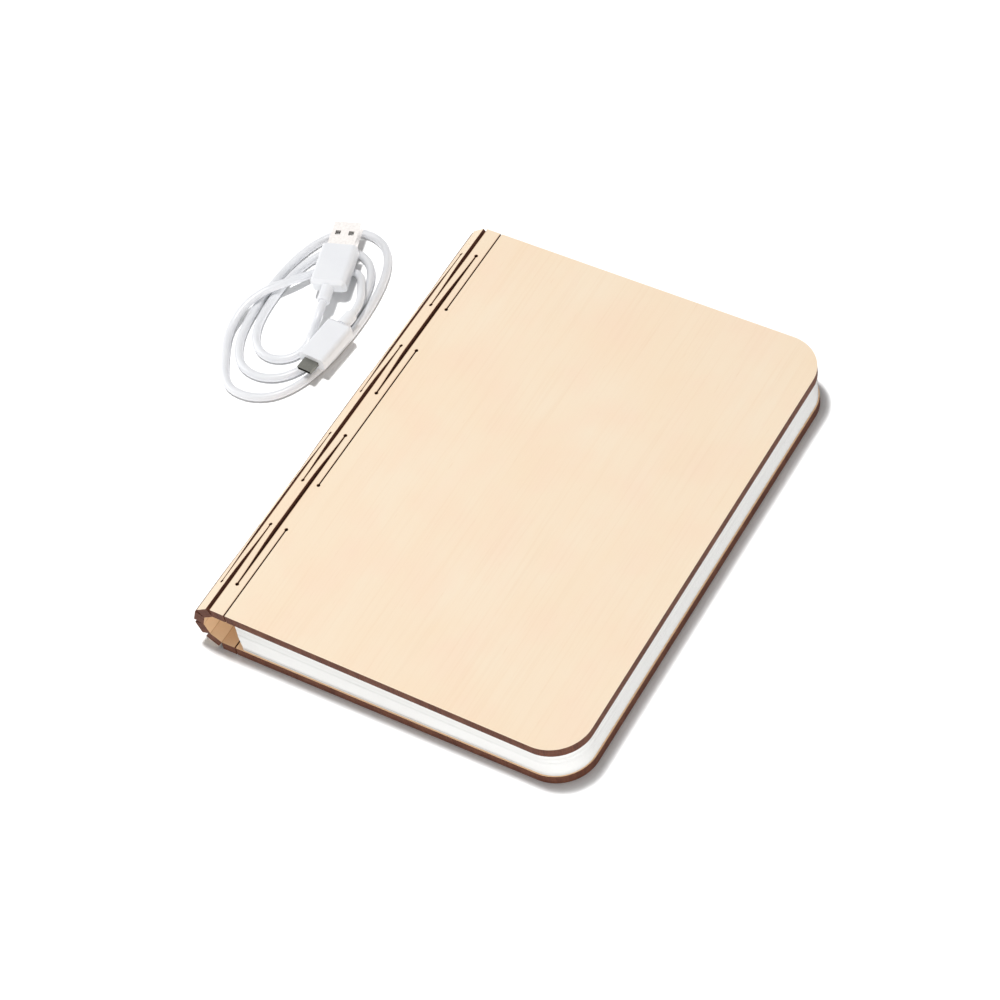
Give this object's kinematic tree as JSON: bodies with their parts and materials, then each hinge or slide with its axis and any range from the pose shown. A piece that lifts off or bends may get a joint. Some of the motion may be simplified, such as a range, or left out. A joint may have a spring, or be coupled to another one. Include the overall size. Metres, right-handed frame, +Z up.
{
  "type": "folding book lamp",
  "caption": "Book-shaped lamp: two pale wooden covers joined by a slit flexible spine, closed over a block of folded paper leaves, with an unplugged charging lead.",
  "frame": {"origin": "on the surface the closed book lies on, under the middle of the book's width and length", "axes": "+X from the spine to the fore-edge, +Y along the spine, +Z up"},
  "size_m": [0.2513, 0.215, 0.0269],
  "materials": {
    "cover_wood": "satin",
    "leaf_paper": "matte",
    "bar_plastic": "matte",
    "diffuser_plastic": "satin",
    "board_laminate": "matte",
    "light_chip": "gloss",
    "sensor_black": "matte",
    "cell_foil": "satin",
    "magnet_plate": "gloss",
    "plug_metal": "satin",
    "lead_white": "gloss",
    "tongue_white": "matte"
  },
  "bodies": {
    "rear": {"rear_cover": "cover_wood", "rear_magnets": "magnet_plate", "rear_glued_sheet": "leaf_paper"},
    "spine_1": {"spine_slats_1": "cover_wood", "leaf_01": "leaf_paper"},
    "spine_2": {"spine_slats_2": "cover_wood", "leaf_02": "leaf_paper"},
    "spine_3": {"spine_slats_3": "cover_wood", "leaf_03": "leaf_paper"},
    "spine_4": {"spine_slats_4": "cover_wood", "leaf_04": "leaf_paper"},
    "spine_5": {"spine_slats_5": "cover_wood", "leaf_05": "leaf_paper", "bar_housing": "bar_plastic", "bar_diffuser": "diffuser_plastic", "bar_near_cap": "bar_plastic", "bar_far_cap": "bar_plastic", "charging_socket": "plug_metal", "light_board": "board_laminate", "lights": "light_chip", "opening_sensor": "sensor_black", "battery_cell": "cell_foil", "charging_board": "board_laminate", "bar_saddles": "bar_plastic"},
    "spine_6": {"spine_slats_6": "cover_wood", "leaf_06": "leaf_paper"},
    "spine_7": {"spine_slats_7": "cover_wood", "leaf_07": "leaf_paper"},
    "spine_8": {"spine_slats_8": "cover_wood", "leaf_08": "leaf_paper"},
    "spine_9": {"spine_slats_9": "cover_wood", "leaf_09": "leaf_paper"},
    "front": {"front_cover": "cover_wood", "front_magnets": "magnet_plate", "trigger_magnet": "magnet_plate", "front_glued_sheet": "leaf_paper"},
    "lead": {"lead_usb_tail": "lead_white", "lead_coil": "lead_white", "lead_micro_tail": "lead_white", "usb_plug_body": "lead_white", "usb_plug_shell": "plug_metal", "usb_plug_tongue": "tongue_white", "usb_plug_relief": "lead_white", "micro_plug_body": "lead_white", "micro_plug_shell": "plug_metal", "micro_plug_relief": "lead_white"}
  },
  "joints": [
    {"name": "fold_1", "type": "hinge", "parent": "rear", "child": "spine_1", "pos_m": [-0.07367, 0, 0.00225], "axis": [0, -1, 0], "range_deg": [0, 36.72]},
    {"name": "fold_2", "type": "hinge", "parent": "spine_1", "child": "spine_2", "pos_m": [-0.077, 0, 0.00334], "axis": [0, -1, 0], "range_deg": [0, 36.72]},
    {"name": "fold_3", "type": "hinge", "parent": "spine_2", "child": "spine_3", "pos_m": [-0.07982, 0, 0.00541], "axis": [0, -1, 0], "range_deg": [0, 36.72]},
    {"name": "fold_4", "type": "hinge", "parent": "spine_3", "child": "spine_4", "pos_m": [-0.08186, 0, 0.00826], "axis": [0, -1, 0], "range_deg": [0, 36.72]},
    {"name": "fold_5", "type": "hinge", "parent": "spine_4", "child": "spine_5", "pos_m": [-0.08291, 0, 0.01159], "axis": [0, -1, 0], "range_deg": [0, 36.72]},
    {"name": "fold_6", "type": "hinge", "parent": "spine_5", "child": "spine_6", "pos_m": [-0.08287, 0, 0.01509], "axis": [0, -1, 0], "range_deg": [0, 36.72]},
    {"name": "fold_7", "type": "hinge", "parent": "spine_6", "child": "spine_7", "pos_m": [-0.08174, 0, 0.01841], "axis": [0, -1, 0], "range_deg": [0, 36.72]},
    {"name": "fold_8", "type": "hinge", "parent": "spine_7", "child": "spine_8", "pos_m": [-0.07964, 0, 0.02121], "axis": [0, -1, 0], "range_deg": [0, 36.72]},
    {"name": "fold_9", "type": "hinge", "parent": "spine_8", "child": "spine_9", "pos_m": [-0.07677, 0, 0.02321], "axis": [0, -1, 0], "range_deg": [0, 36.72]},
    {"name": "fold_10", "type": "hinge", "parent": "spine_9", "child": "front", "pos_m": [-0.07342, 0, 0.02422], "axis": [0, -1, 0], "range_deg": [0, 36.72]},
    {"name": "lead_clear", "type": "slide", "parent": "rear", "child": "lead", "axis": [0, 1, 0], "range_m": [0, 0.28]}
  ],
  "couplings": [
    {"joint": "fold_2", "follows": "fold_1", "ratio": 1},
    {"joint": "fold_3", "follows": "fold_1", "ratio": 1},
    {"joint": "fold_4", "follows": "fold_1", "ratio": 1},
    {"joint": "fold_5", "follows": "fold_1", "ratio": 1},
    {"joint": "fold_6", "follows": "fold_1", "ratio": 1},
    {"joint": "fold_7", "follows": "fold_1", "ratio": 1},
    {"joint": "fold_8", "follows": "fold_1", "ratio": 1},
    {"joint": "fold_9", "follows": "fold_1", "ratio": 1},
    {"joint": "fold_10", "follows": "fold_1", "ratio": 1},
    {"joint": "lead_clear", "follows": "fold_1", "m_per_rad": 0.4365}
  ]
}
